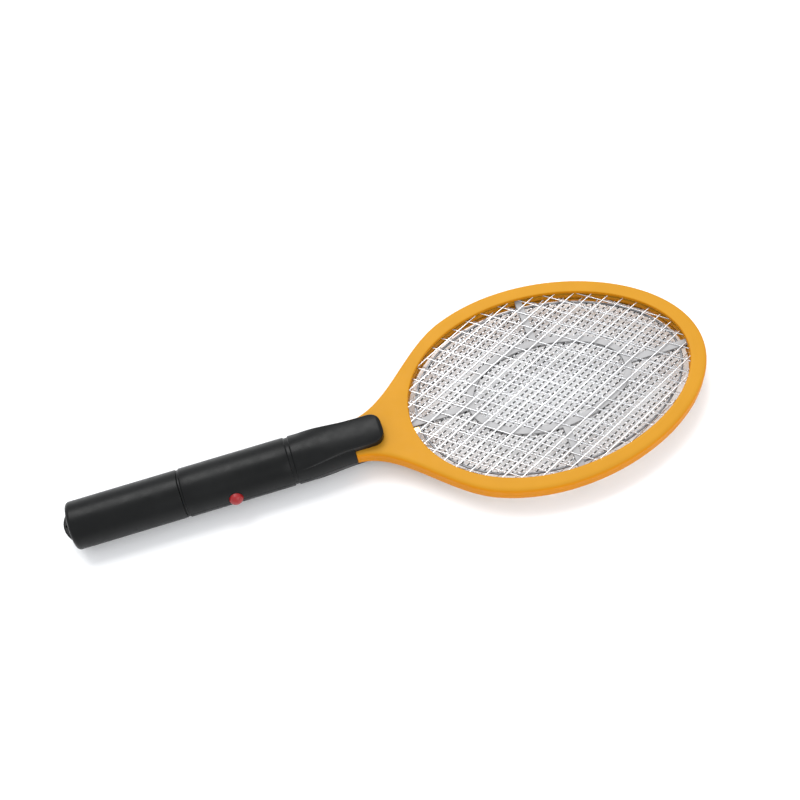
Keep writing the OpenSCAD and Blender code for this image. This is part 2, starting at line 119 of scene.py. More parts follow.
# Head. Its oval is an ellipse that widens towards the yoke by the share EGG, and WIDEST is the
# share of its half width that it reaches there.
HALF_T = span("frame_front", 2)[1]
HEAD_X = middle("front_guard", 0)
EGG = 0.07
WIDEST = max(math.sin(t / 50) * (1 - EGG * math.cos(t / 50)) for t in range(75, 90))
SLOT_W = 4.0
SLOT_HALF = 3.84
OPEN_A = span("front_guard", 0)[1] - HEAD_X - SLOT_W
OPEN_B = span("front_guard", 1)[1] / WIDEST - SLOT_W
RIM_A = TIP_X - HEAD_X
RIM_B = span("frame_front", 1)[1] / WIDEST
RIM_ROUND = 3.0
LIP_ROUND = 0.9
OPEN_END = math.radians(171)
YOKE_ANGLE = math.radians(122.8)
YOKE_PULL = 34.0
NECK_PULL = (30.0, 1.0)
NECK_X = MOUTH_X + 0.3
NECK_HALF = 14.0
TANG_HALF = 10.4
POCKET_X = 236.0
POCKET_HALF = 9.0
LEAD_Y = 5.0
CHANNEL_HALF = 1.8
TERMINAL_HALF = 2.1
RING_SCREWS = 8
RING_SCREW_IN = 5.2
RING_SCREW_R = 0.8
RING_HEAD_R = 1.5
RING_HEAD_H = 1.3
RING_SEAT = HALF_T - 2.2

# Nets and braces
WIRE_ANGLES = (math.radians(27), math.radians(-37))
GUARD_PITCH, GUARD_WIRES = 9.3, (0.42, 0.42)
GRID_PITCH, GRID_WIRES = 3.65, (0.4, 0.28)
GUARD_RIM_W, GRID_RIM_W = 2.4, 1.4
GRID_GAP = OPEN_A - (span("inner_grid", 0)[1] - HEAD_X)
WELD = 0.97  # share of a net's half thickness that its wires reach
BRACE_A, BRACE_B, BRACE_W = 57.0, 33.0, 5.0
SPOKE_IN = 2.5  # length of a spoke inside the wall of the opening
SHORTEST_WIRE = 24.0
RING_STEPS = 240  # points round a flat oval ring


# Geometry helpers. A shape is (points, faces), in millimetres.

def join(*shapes):
    """Several shapes as one, without merging them."""
    points, faces = [], []
    for more_points, more_faces in shapes:
        shift = len(points)
        points.extend(more_points)
        faces.extend([i + shift for i in face] for face in more_faces)
    return points, faces


def arc(start, end, steps):
    """Angles from start to end in degrees, as radians."""
    return [math.radians(start + (end - start) * i / steps) for i in range(steps + 1)]


def smoothstep(low, high, x):
    """0 below low and 1 above high, with an S-shaped rise between them."""
    t = min(max((x - low) / (high - low), 0.0), 1.0)
    return t * t * (3 - 2 * t)


def skin(rings, capped=True):
    """Faces over closed rings of equally many points, with the first and last ring filled in."""
    count = len(rings[0])
    points = [tuple(p) for ring in rings for p in ring]
    faces = []
    for i in range(len(rings) - 1):
        for k in range(count):
            a, b = i * count + k, i * count + (k + 1) % count
            faces.append([a, b, b + count, a + count])
    if capped:
        faces.append(list(range(count)))
        faces.append([len(points) - 1 - k for k in range(count)])
    return points, faces


def wrapped(rings):
    """Faces over closed rings, with the last ring joined to the first."""
    points, faces = skin(rings, capped=False)
    count = len(rings[0])
    last = len(points) - count
    for k in range(count):
        faces.append([last + k, last + (k + 1) % count, (k + 1) % count, k])
    return points, faces


def revolve(profile, axis=0, centre=(0.0, 0.0, 0.0), steps=96):
    """A turned solid from (radius, distance) points, which start and end on the axis or close up."""
    points, rings, faces = [], [], []
    for radius, along in profile:
        ring = []
        for k in range(steps if radius > 0 else 1):
            turn = 2 * math.pi * k / steps
            p = list(centre)
            p[axis] += along
            p[(axis + 1) % 3] += radius * math.cos(turn)
            p[(axis + 2) % 3] += radius * math.sin(turn)
            ring.append(len(points))
            points.append(tuple(p))
        rings.append(ring)
    following = rings[1:] + ([rings[0]] if profile[0][0] > 0 else [])
    for a, b in zip(rings, following):
        for k in range(steps):
            n = k + 1
            corners = [a[k % len(a)], a[n % len(a)], b[n % len(b)], b[k % len(b)]]
            corners = list(dict.fromkeys(corners))
            if len(corners) > 2:
                faces.append(corners)
    return points, faces


def rod(x, y, z_low, z_high, radius, steps=32):
    """An upright round rod."""
    return revolve([(0, z_low), (radius, z_low), (radius, z_high), (0, z_high)], 2, (x, y, 0), steps)


def brick(x, y, z):
    """A block between two places on each axis."""
    ring = [(x[0], y[0]), (x[1], y[0]), (x[1], y[1]), (x[0], y[1])]
    return skin([[(*p, h) for p in ring] for h in z])


def flipped(shape):
    """The shape mirrored in the middle plane."""
    points, faces = shape
    return [(x, y, -z) for x, y, z in points], [face[::-1] for face in faces]


def place(p):
    """The same point in the shared frame, in metres."""
    return ORIGIN.x + p[0] * MM, p[1] * MM, ORIGIN.z + p[2] * MM


def build(name, shape):
    """An object with this shape."""
    points, faces = shape
    mesh = bpy.data.meshes.new(name)
    mesh.from_pydata([place(p) for p in points], [], faces)
    bm = bmesh.new()
    bm.from_mesh(mesh)
    bmesh.ops.recalc_face_normals(bm, faces=bm.faces)
    bm.to_mesh(mesh)
    bm.free()
    piece = bpy.data.objects.new(name, mesh)
    bpy.context.collection.objects.link(piece)
    return piece


def boolean(piece, shape, operation):
    """Joins a closed shape to the piece or cuts it away."""
    tool = build("tool", shape)
    step = piece.modifiers.new("step", "BOOLEAN")
    step.operation = operation
    step.solver = "MANIFOLD"
    step.object = tool
    bpy.context.view_layer.objects.active = piece
    bpy.ops.object.modifier_apply(modifier=step.name)
    bpy.data.objects.remove(tool)


def finish_piece(piece, material, body, slot, *nodes, edge=32):
    """Smooths the shading up to an edge angle, sets the material, and ties the piece to the frame."""
    piece.data.shade_smooth()
    piece.data.set_sharp_from_angle(angle=math.radians(edge))
    piece.data.materials.clear()
    piece.data.materials.append(material)
    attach(piece, body)
    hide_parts(*nodes)


# Materials. All patterns lie on object coordinates, in metres.

def shaded(color, factor):
    """The colour made darker or lighter by a factor."""
    return tuple(min(c * factor, 1) for c in color)


class Finish:
    """A procedural material: one shader, and the nodes that vary it."""

    def __init__(self, name, color, roughness, metallic=0.0, coat=0.0, shine=0.5):
        self.material = bpy.data.materials.new(name)
        self.material.use_nodes = True
        self.tree = self.material.node_tree
        self.shader = self.tree.nodes["Principled BSDF"]
        self.place = self.tree.nodes.new("ShaderNodeTexCoord").outputs["Object"]
        self.color = color
        self.set("Base Color", (*color, 1))
        self.set("Roughness", roughness)
        self.set("Metallic", metallic)
        self.set("Specular IOR Level", shine)
        if coat:
            self.set("Coat Weight", coat)
            self.set("Coat Roughness", 0.12)

    def set(self, socket, value):
        self.shader.inputs[socket].default_value = value

    def link(self, source, target):
        self.tree.links.new(source, target)

    def noise(self, scale, detail=3.0):
        node = self.tree.nodes.new("ShaderNodeTexNoise")
        node.inputs["Scale"].default_value = scale
        node.inputs["Detail"].default_value = detail
        self.link(self.place, node.inputs["Vector"])
        return node.outputs["Fac"]

    def bands(self, scale, direction="X", distortion=0.0):
        """Sine bands across a direction, 2 pi / (20 * scale) metres apart."""
        node = self.tree.nodes.new("ShaderNodeTexWave")
        node.bands_direction = direction
        node.inputs["Scale"].default_value = scale
        node.inputs["Distortion"].default_value = distortion
        self.link(self.place, node.inputs["Vector"])
        return node.outputs["Fac"]

    def between(self, source, low, high, from_low=0.3, from_high=0.7):
        """Low to high as source goes between the other two, and held beyond them. Noise spans 0.3 to 0.7."""
        node = self.tree.nodes.new("ShaderNodeMapRange")
        limits = {"From Min": from_low, "From Max": from_high, "To Min": low, "To Max": high}
        for name, value in limits.items():
            node.inputs[name].default_value = value
        self.link(source, node.inputs["Value"])
        return node.outputs["Result"]

    def mixed(self, source, first, second):
        """A colour from first to second as source goes from 0 to 1. Either may be a socket."""
        node = self.tree.nodes.new("ShaderNodeMix")
        node.data_type = "RGBA"
        self.link(source, node.inputs["Factor"])
        for socket, value in (("A", first), ("B", second)):
            target = [s for s in node.inputs if s.name == socket and s.type == "RGBA"][0]
            if isinstance(value, bpy.types.NodeSocket):
                self.link(value, target)
            else:
                target.default_value = (*value, 1)
        return [s for s in node.outputs if s.type == "RGBA"][0]

    def paint(self, color):
        self.link(color, self.shader.inputs["Base Color"])

    def tint(self, source, darker, lighter):
        """Varies the base colour by these factors."""
        dark, light = shaded(self.color, darker), shaded(self.color, lighter)
        self.paint(self.mixed(self.between(source, 0, 1), dark, light))

    def gloss(self, source, low, high):
        """Varies the roughness."""
        self.link(self.between(source, low, high), self.shader.inputs["Roughness"])

    def bump(self, source, depth_mm, strength=1.0):
        """Adds relief on top of any that is there already."""
        node = self.tree.nodes.new("ShaderNodeBump")
        node.inputs["Strength"].default_value = strength
        node.inputs["Distance"].default_value = depth_mm * MM
        self.link(source, node.inputs["Height"])
        before = self.shader.inputs["Normal"]
        if before.is_linked:
            self.link(before.links[0].from_socket, node.inputs["Normal"])
        self.link(node.outputs["Normal"], before)


def mould_skin(finish, roughness, grain):
    """Fine spark-eroded grain, patches worn a little smoother, and a slightly uneven surface."""
    finish.gloss(finish.noise(160, 6), roughness - 0.06, roughness + 0.07)
    finish.bump(finish.noise(3200, 2), grain, 0.35)
    finish.bump(finish.noise(90, 3), 0.05, 0.12)


def moulded(name, color, roughness, grain=0.02, spread=0.06, coat=0.0, shine=0.5):
    """Moulded plastic with a cloudy colour."""
    finish = Finish(name, color, roughness, coat=coat, shine=shine)
    finish.tint(finish.noise(45, 5), 1 - spread, 1 + spread)
    mould_skin(finish, roughness, grain)
    return finish.material


def metal(name, color, roughness, spread=0.1):
    """Bare or plated metal: a cloudy tone, uneven gloss and a fine grain."""
    finish = Finish(name, color, roughness, metallic=1.0)
    finish.tint(finish.noise(220, 4), 1 - spread, 1 + spread)
    finish.gloss(finish.noise(500, 4), roughness - 0.06, roughness + 0.1)
    finish.bump(finish.noise(2600, 2), 0.008, 0.4)
    return finish.material


def live_wire():
    """Steel wire whose upper set has painted shade: dark dashes that stand in for the shadows where the lower
    wires cross it, spaced like those wires.
    """
    # The dash colour is painted shade: near-black where the wires would lie in shadow.
    metal_tones, painted_shade_color = ((0.74, 0.74, 0.75), (0.86, 0.86, 0.87)), (0.015, 0.015, 0.016)
    bright_below, dark_above = 0.12, 0.3
    finish = Finish("live_wire", (0.8, 0.8, 0.81), 0.24, metallic=1.0)
    split = finish.tree.nodes.new("ShaderNodeSeparateXYZ")
    finish.link(finish.place, split.inputs["Vector"])
    level, blend = middle("inner_grid", 2) * MM + ORIGIN.z, 0.1 * MM
    upper = finish.between(split.outputs["Z"], 0, 1, level - blend, level + blend)
    turned = finish.tree.nodes.new("ShaderNodeMapping")
    turned.inputs["Rotation"].default_value = (0, 0, -WIRE_ANGLES[1])
    finish.link(finish.place, turned.inputs["Vector"])
    finish.place = turned.outputs["Vector"]
    waves = finish.bands(2 * math.pi / (20 * GRID_PITCH * MM), "Y", 0.3)
    dark = finish.between(waves, 0, 1, bright_below, dark_above)
    painted_shade_mask = finish.tree.nodes.new("ShaderNodeMath")
    painted_shade_mask.operation = "MULTIPLY"
    finish.link(upper, painted_shade_mask.inputs[0])
    finish.link(dark, painted_shade_mask.inputs[1])
    bright = finish.mixed(finish.between(finish.noise(500, 3), 0, 1), *metal_tones)
    # Painted shade: the dashes darken the upper wires where the crossing wires would shade them.
    finish.paint(finish.mixed(painted_shade_mask.outputs[0], bright, painted_shade_color))
    finish.gloss(finish.noise(700, 3), 0.2, 0.34)
    finish.bump(finish.noise(2600, 2), 0.008, 0.4)
    return finish.material


def light_painted_plastic(name, top, side, roughness, shine):
    """Moulded plastic in two tones of painted light: a paler one where it faces up or down, standing in for
    the light on its top, and a deeper one on its sides, standing in for their shade.
    """
    steep, level, darker, lighter = 0.45, 0.9, 0.97, 1.03
    finish = Finish(name, side, roughness, shine=shine)
    split = finish.tree.nodes.new("ShaderNodeSeparateXYZ")
    finish.link(finish.tree.nodes["Texture Coordinate"].outputs["Normal"], split.inputs["Vector"])
    flat = finish.tree.nodes.new("ShaderNodeMath")
    flat.operation = "ABSOLUTE"
    finish.link(split.outputs["Z"], flat.inputs[0])
    painted_light_mask = finish.between(flat.outputs[0], 0, 1, steep, level)
    cloud = finish.between(finish.noise(45, 5), 0, 1)
    painted_light_tops = finish.mixed(cloud, shaded(top, darker), shaded(top, lighter))
    sides = finish.mixed(cloud, shaded(side, darker), shaded(side, lighter))
    # Painted light and shade: the top tone stands for light falling on the faces that look up, the side tone
    # for the shade on the sides.
    finish.paint(finish.mixed(painted_light_mask, sides, painted_light_tops))
    mould_skin(finish, roughness, 0.012)
    return finish.material


def insulation(name, color):
    finish = Finish(name, color, 0.42)
    finish.tint(finish.noise(120, 3), 0.88, 1.1)
    finish.gloss(finish.noise(300, 3), 0.36, 0.5)
    finish.bump(finish.noise(700, 2), 0.03, 0.4)
    return finish.material


def cell_jacket():
    """Printed film: a dark body with a copper-coloured band at the middle, under a clear coat."""
    finish = Finish("cell_jacket", (0.04, 0.09, 0.2), 0.3, coat=0.6)
    bands = finish.between(finish.bands(2.4, "X"), 0, 1, 0.72, 0.74)
    plain = finish.mixed(finish.between(finish.noise(80, 4), 0, 1), (0.035, 0.08, 0.18), (0.05, 0.11, 0.24))
    finish.paint(finish.mixed(bands, plain, (0.42, 0.2, 0.08)))
    finish.gloss(finish.noise(150, 4), 0.24, 0.36)
    finish.bump(finish.noise(400, 2), 0.02, 0.2)
    return finish.material


def board_resin():
    """Green solder mask over copper tracks, which show lighter and stand a little proud."""
    finish = Finish("board_resin", (0.03, 0.17, 0.05), 0.34, coat=0.3)
    node = finish.tree.nodes.new("ShaderNodeTexBrick")
    node.inputs["Scale"].default_value = 130
    node.inputs["Mortar Size"].default_value = 0.06
    finish.link(finish.place, node.inputs["Vector"])
    tracks = finish.between(node.outputs["Fac"], 0, 1, 0.4, 0.6)
    mask = finish.mixed(finish.between(finish.noise(150, 3), 0, 1), (0.025, 0.15, 0.045), (0.035, 0.19, 0.06))
    finish.paint(finish.mixed(tracks, mask, (0.08, 0.3, 0.1)))
    finish.gloss(finish.noise(300, 3), 0.28, 0.42)
    finish.bump(tracks, 0.035, 0.5)
    return finish.material


def wound_tape():
    """Lacquered windings under amber tape, with the turns just visible."""
    finish = Finish("winding_tape", (0.5, 0.28, 0.05), 0.32, coat=0.4)
    turns = finish.bands(1400, "X", 0.4)
    finish.tint(turns, 0.78, 1.12)
    finish.gloss(finish.noise(200, 3), 0.26, 0.4)
    finish.bump(turns, 0.05, 0.5)
    return finish.material


def dipped(name, color):
    """A dipped coating: glossy, with slow waves and a fine orange-peel skin."""
    finish = Finish(name, color, 0.26, coat=0.3)
    finish.tint(finish.noise(180, 3), 0.85, 1.15)
    finish.gloss(finish.noise(400, 3), 0.2, 0.34)
    finish.bump(finish.noise(350, 3), 0.08, 0.4)
    return finish.material


def resistor_body():
    """Buff lacquer with darker bands round the body."""
    finish = Finish("resistor_body", (0.55, 0.4, 0.24), 0.4)
    bands = finish.between(finish.bands(190, "Y"), 0, 1, 0.8, 0.86)
    base = finish.mixed(finish.between(finish.noise(300, 3), 0, 1), (0.5, 0.36, 0.2), (0.6, 0.45, 0.28))
    finish.paint(finish.mixed(bands, base, (0.12, 0.05, 0.03)))
    finish.gloss(finish.noise(400, 3), 0.34, 0.46)
    finish.bump(finish.noise(900, 2), 0.02, 0.3)
    return finish.material


def floor_material():
    finish = Finish("floor", (0.92, 0.92, 0.92), 0.75)
    finish.tint(finish.noise(3, 2), 0.995, 1.005)
    finish.gloss(finish.noise(20, 2), 0.7, 0.8)
    return finish.material


# The yellow's paler top tone and deeper side tone are painted light and shade.
YELLOW = light_painted_plastic("yellow_plastic", (0.47, 0.22, 0.018), (0.56, 0.2, 0.001), 0.45, 0.07)
BLACK = moulded("black_plastic", (0.0045, 0.0048, 0.0048), 0.36, grain=0.03, spread=0.2, shine=0.15)
DARK = moulded("cradle_plastic", (0.03, 0.034, 0.036), 0.55, grain=0.04, spread=0.15)
RED = moulded("red_plastic", (0.26, 0.01, 0.012), 0.34, grain=0.008, spread=0.08, coat=0.15, shine=0.3)
BRACE = moulded("brace_plastic", (0.35, 0.345, 0.345), 0.5, grain=0.02, spread=0.05, shine=0.2)
WHITE = moulded("white_plastic", (0.75, 0.75, 0.72), 0.45, grain=0.02)
COMPONENT = moulded("component_black", (0.02, 0.02, 0.022), 0.5, grain=0.03, spread=0.2)
FERRITE = moulded("ferrite", (0.06, 0.06, 0.064), 0.62, grain=0.06, spread=0.25)
WIRE = metal("net_wire", (0.74, 0.74, 0.75), 0.22, spread=0.05)
LIVE_WIRE = live_wire()
# Painted shade: the nets' rims get this dark tone so that they read as the shade at the edge of the opening.
RIM_PAINTED_SHADE = metal("net_rim_painted_shade", (0.15, 0.15, 0.155), 0.42)
ZINC = metal("zinc_steel", (0.62, 0.62, 0.64), 0.34)
NICKEL = metal("nickel_steel", (0.7, 0.68, 0.64), 0.28)
BRASS = metal("brass", (0.78, 0.55, 0.22), 0.3)
RED_LEAD = insulation("red_insulation", (0.45, 0.02, 0.015))
BLACK_LEAD = insulation("black_insulation", (0.015, 0.015, 0.015))


# Head

def oval(a, b, turn):
    """A point of the head's oval with these half sizes."""
    return HEAD_X + a * math.cos(turn), b * math.sin(turn) * (1 - EGG * math.cos(turn))


def cubic(p, t):
    """A point of the curve with these four control points."""
    weights = ((1 - t) ** 3, 3 * t * (1 - t) ** 2, 3 * t * t * (1 - t), t ** 3)
    return tuple(sum(w * q[i] for w, q in zip(weights, p)) for i in (0, 1))


def yoke_side():
    """Control points of the yoke's side, from the rim to the neck."""
    start = oval(RIM_A, RIM_B, YOKE_ANGLE)
    bend = EGG * math.cos(2 * YOKE_ANGLE) - math.cos(YOKE_ANGLE)
    heading = (RIM_A * math.sin(YOKE_ANGLE), RIM_B * bend)
    size = math.hypot(*heading)
    pulled = tuple(start[i] - YOKE_PULL * heading[i] / size for i in (0, 1))
    return start, pulled, (NECK_X + NECK_PULL[0], NECK_HALF + NECK_PULL[1]), (NECK_X, NECK_HALF)


def half_outline():
    """(outer point, is it on the side, angle of the inner point) from the tip to the neck's middle."""
    rim_steps, yoke_steps, end_steps = 76, 34, 4
    stations = []
    for i in range(rim_steps):
        turn = YOKE_ANGLE * i / rim_steps
        stations.append((oval(RIM_A, RIM_B, turn), True, turn))
    side = yoke_side()
    for i in range(yoke_steps + 1):
        t = i / yoke_steps
        stations.append((cubic(side, t), True, YOKE_ANGLE + (OPEN_END - YOKE_ANGLE) * t))
    for i in range(1, end_steps + 1):
        t = i / end_steps
        stations.append(((NECK_X, NECK_HALF * (1 - t)), False, OPEN_END + (math.pi - OPEN_END) * t))
    return stations


def outline_ring(inset):
    """The head's outline moved inwards, with the angle of each matching inner point."""
    half = half_outline()
    ring = []
    for i, (p, on_side, turn) in enumerate(half):
        if on_side:
            a = half[i - 1][0] if i else (p[0], -1.0)
            b = half[i + 1][0] if half[i + 1][1] else p
            size = math.hypot(b[0] - a[0], b[1] - a[1])
            along = ((b[0] - a[0]) / size, (b[1] - a[1]) / size)
            q = (p[0] - inset * along[1], p[1] + inset * along[0])
            if p[0] <= NECK_X:
                q = (NECK_X, p[1] - inset)
        else:
            q = (NECK_X, p[1] * (NECK_HALF - inset) / NECK_HALF)
        ring.append((q, turn))
    mirrored = [((q[0], -q[1]), -turn) for q, turn in ring[-2:0:-1]]
    return ring + mirrored


def head_section():
    """(share of the way to the opening, distance from that edge, height) round one half's section."""
    section = [(0, SEAM, 0.0), (0, 0.0, SEAM), (0, 0.0, 2.0)]
    for a in arc(0, 90, 7):
        section.append((0, RIM_ROUND * (1 - math.cos(a)), HALF_T - RIM_ROUND * (1 - math.sin(a))))
    for share in (0.25, 0.5, 0.75):
        section.append((share, 0.0, HALF_T))
    for a in arc(90, 0, 4):
        section.append((1, LIP_ROUND * (1 - math.cos(a)), HALF_T - LIP_ROUND * (1 - math.sin(a))))
    section += [(1, 0.0, SLOT_HALF + 0.3), (1, 0.3, SLOT_HALF)]
    section += [(1, SLOT_W + 0.05, SLOT_HALF), (1, SLOT_W + 0.05, 0.0)]
    return section


def head_ring():
    """The oval head and yoke as one closed sweep, lying above the middle plane."""
    rings = []
    for share, distance, height in head_section():
        on_top = 0 < share < 1
        from_opening = LIP_ROUND if on_top else distance
        ring = []
        for q, turn in outline_ring(RIM_ROUND if on_top else distance):
            inner = oval(OPEN_A + from_opening, OPEN_B + from_opening, turn)
            ring.append((
                q[0] + (inner[0] - q[0]) * share,
                q[1] + (inner[1] - q[1]) * share,
                height,
            ))
        rings.append(ring)
    return wrapped(rings)


def ring_screw_places():
    """Places of the screws round the rim."""
    for i in range(RING_SCREWS):
        yield oval(OPEN_A + RING_SCREW_IN, OPEN_B + RING_SCREW_IN, (i + 0.5) * 2 * math.pi / RING_SCREWS)


def head_cuts(back):
    """Pocket, lead channels and screw holes of one half."""
    pocket_end = HEAD_X - OPEN_A - 1
    yield brick((POCKET_X, pocket_end), (-POCKET_HALF, POCKET_HALF), (-1, SLOT_HALF - TINY))
    for side in (-1, 1):
        across = (side * LEAD_Y - CHANNEL_HALF, side * LEAD_Y + CHANNEL_HALF)
        yield brick((TANG_X - 1, POCKET_X + 1), across, (-1, CHANNEL_HALF))
    yield join(*[rod(x, 0, -1, HALF_T + 1, GRIP_SCREW_R + 0.2) for x in SCREW_X[:2]])
    if back:
        hole, counterbore = RING_SCREW_R + 0.12, RING_HEAD_R + 0.12
        stepped = [(0, -1), (hole, -1), (hole, RING_SEAT), (counterbore, RING_SEAT),
                   (counterbore, HALF_T + 1), (0, HALF_T + 1)]
        yield join(*[revolve(stepped, 2, (x, y, 0), 32) for x, y in ring_screw_places()])
    else:
        hole = RING_SCREW_R + TINY
        yield join(*[rod(x, y, -1, HALF_T - 2, hole) for x, y in ring_screw_places()])


def head_half(name, node, back):
    """One half of the head frame: rim, yoke and the tang inside the grip."""
    tang = brick((TANG_X, NECK_X + 1), (-TANG_HALF, TANG_HALF), (0, HALF_T - TINY))
    turned_over = flipped if back else (lambda s: s)
    piece = build(name, turned_over(head_ring()))
    boolean(piece, turned_over(tang), "UNION")
    for cut in head_cuts(back):
        boolean(piece, turned_over(cut), "DIFFERENCE")
    finish_piece(piece, YELLOW, "swatter", "yellow_plastic", node)


def cross_screw(x, y, seat, head_r, head_h, shank_r, shank_end):
    """A pan-head screw with its domed head down and a plain shank that ends in a blunt point."""
    dome_h = 0.65 * head_h
    profile = [(0, seat - head_h)]
    for a in arc(8, 90, 6):
        profile.append((head_r * math.sin(a), seat - head_h + dome_h - dome_h * math.cos(a)))
    profile += [(head_r, seat), (shank_r, seat), (shank_r, shank_end - 1)]
    profile += [(0.25 * shank_r, shank_end), (0, shank_end)]
    return revolve(profile, 2, (x, y, 0), 40)


def cut_crosses(piece, places, low, size, depth):
    """Cuts a cross recess into the screw heads at these places, whose faces are at low."""
    arm = size / 7
    for half_x, half_y in ((size / 2, arm), (arm, size / 2)):
        arms = []
        for x, y in places:
            arms.append(brick((x - half_x, x + half_x), (y - half_y, y + half_y), (low - 1, low + depth)))
        boolean(piece, join(*arms), "DIFFERENCE")


def frame_screws():
    """The ring of screws that hold the halves of the head together."""
    seat = -RING_SEAT - TINY
    places = list(ring_screw_places())
    shapes = []
    for x, y in places:
        shapes.append(cross_screw(x, y, seat, RING_HEAD_R, RING_HEAD_H, RING_SCREW_R, HALF_T - 2.5))
    piece = build("ring_screws", join(*shapes))
    cut_crosses(piece, places, seat - RING_HEAD_H, 1.8, 0.75)
    finish_piece(piece, ZINC, "swatter", "zinc_steel", "frame_screws")


# Nets

def line_end(turn, offset, a, b, end):
    """How far along a line at this angle and offset the head's oval ends, at its low (-1) or high (1) end.

    The oval is an ellipse whose width changes along it, so the width is found in rounds.
    """
    u, n = (math.cos(turn), math.sin(turn)), (-math.sin(turn), math.cos(turn))
    x = 0.0
    for _ in range(12):
        wide = b * (1 - EGG * x / a)
        qa = (u[0] / a) ** 2 + (u[1] / wide) ** 2
        qb = 2 * offset * (n[0] * u[0] / a ** 2 + n[1] * u[1] / wide ** 2)
        qc = offset ** 2 * ((n[0] / a) ** 2 + (n[1] / wide) ** 2) - 1
        s = (end * math.sqrt(max(qb * qb - 4 * qa * qc, 0.0)) - qb) / (2 * qa)
        x = s * u[0] + offset * n[0]
    return s


def wire(turn, offset, ends, z, radius, sides):
    """One straight round wire, between two distances along its line."""
    u, n = (math.cos(turn), math.sin(turn)), (-math.sin(turn), math.cos(turn))
    rings = []
    for s in ends:
        x, y = s * u[0] + offset * n[0], s * u[1] + offset * n[1]
        ring = []
        for k in range(sides):
            around = 2 * math.pi * (k + 0.5) / sides
            out = radius * math.cos(around)
            ring.append((HEAD_X + x + out * n[0], y + out * n[1], z + radius * math.sin(around)))
        rings.append(ring)
    return skin(rings)


def net_wires(pitch, radii, z, half, shift, a, b, sides):
    """Two sets of straight wires: the first lies on the second, and they are welded where they cross."""
    for turn, level, radius in zip(WIRE_ANGLES, (1, -1), radii):
        widest = math.hypot(a * math.sin(turn), b * math.cos(turn))
        count = math.ceil(widest / pitch)
        for i in range(-count, count + 1):
            offset = (i + shift) * pitch
            ends = [line_end(turn, offset, a, b, end) for end in (-1, 1)]
            if ends[1] - ends[0] > SHORTEST_WIRE:
                yield wire(turn, offset, ends, z + level * (half * WELD - radius), radius, sides)


def oval_band(outer, inner, low, high, edge):
    """A flat oval ring with rounded edges, between two ovals given by their half sizes."""
    section = []
    for is_inner, on_top in ((False, True), (True, True), (True, False), (False, False)):
        side_first = is_inner != on_top
        for a in arc(0, 90, 3) if side_first else arc(90, 0, 3):
            drop = edge * (1 - math.sin(a))
            section.append((is_inner, edge * (1 - math.cos(a)), high - drop if on_top else low + drop))
    rings = []
    for is_inner, distance, height in section:
        inwards = -distance if is_inner else distance
        a, b = (size - inwards for size in (inner if is_inner else outer))
        rings.append([(*oval(a, b, 2 * math.pi * k / RING_STEPS), height) for k in range(RING_STEPS)])
    return wrapped(rings)


def net(name, node, material, pitch, radii, edge, rim_w, shift, sides):
    """A net in its flat rim, whose outer edge stands out from the edge of the opening."""
    z = middle(node, 2)
    half = span(node, 2)[1] - z
    inner = edge - rim_w
    wire_end = inner + rim_w / 3
    rim_sizes = ((OPEN_A + edge, OPEN_B + edge), (OPEN_A + inner, OPEN_B + inner))
    rim = oval_band(*rim_sizes, z - half, z + half, 0.2)
    wires = net_wires(pitch, radii, z, half, shift, OPEN_A + wire_end, OPEN_B + wire_end, sides)
    piece = build(name, join(rim, *wires))
    finish_piece(piece, material, "swatter", "net_wire", node, edge=60)
    # The rim faces take the dark metal, painted shade for the edge of the opening.
    piece.data.materials.append(RIM_PAINTED_SHADE)
    for face in piece.data.polygons[:len(rim[1])]:
        face.material_index = 1


def bar(x, y, low, high, edge):
    """A bar with rounded long edges, along its longer side."""
    along = 0 if x[1] - x[0] > y[1] - y[0] else 1
    across = (y, x)[along]
    section = []
    for start, (side, level) in zip((270, 0, 90, 180), ((1, low), (1, high), (0, high), (0, low))):
        centre_w = across[1] - edge if side else across[0] + edge
        centre_h = high - edge if level == high else low + edge
        for a in arc(start, start + 90, 3):
            section.append((centre_w + edge * math.cos(a), centre_h + edge * math.sin(a)))
    ends = (x, y)[along]
    rings = []
    for s in ends:
        rings.append([(s, w, h) if along == 0 else (w, s, h) for w, h in section])
    return skin(rings)


def brace(name, node):
    """An oval ring and the four spokes that hold it."""
    low, high = span(node, 2)
    w, edge = BRACE_W / 2, 0.45
    loop = oval_band((BRACE_A + w, BRACE_B + w), (BRACE_A - w, BRACE_B - w), low, high, edge)
    piece = build(name, loop)
    for end in (-1, 1):
        x = sorted(HEAD_X + end * d for d in (BRACE_A, OPEN_A + SPOKE_IN))
        y = sorted(end * d for d in (BRACE_B, OPEN_B + SPOKE_IN))
        boolean(piece, bar(x, (-w, w), low, high, edge), "UNION")
        boolean(piece, bar((HEAD_X - w, HEAD_X + w), y, low, high, edge), "UNION")
    finish_piece(piece, BRACE, "swatter", "brace_plastic", node)


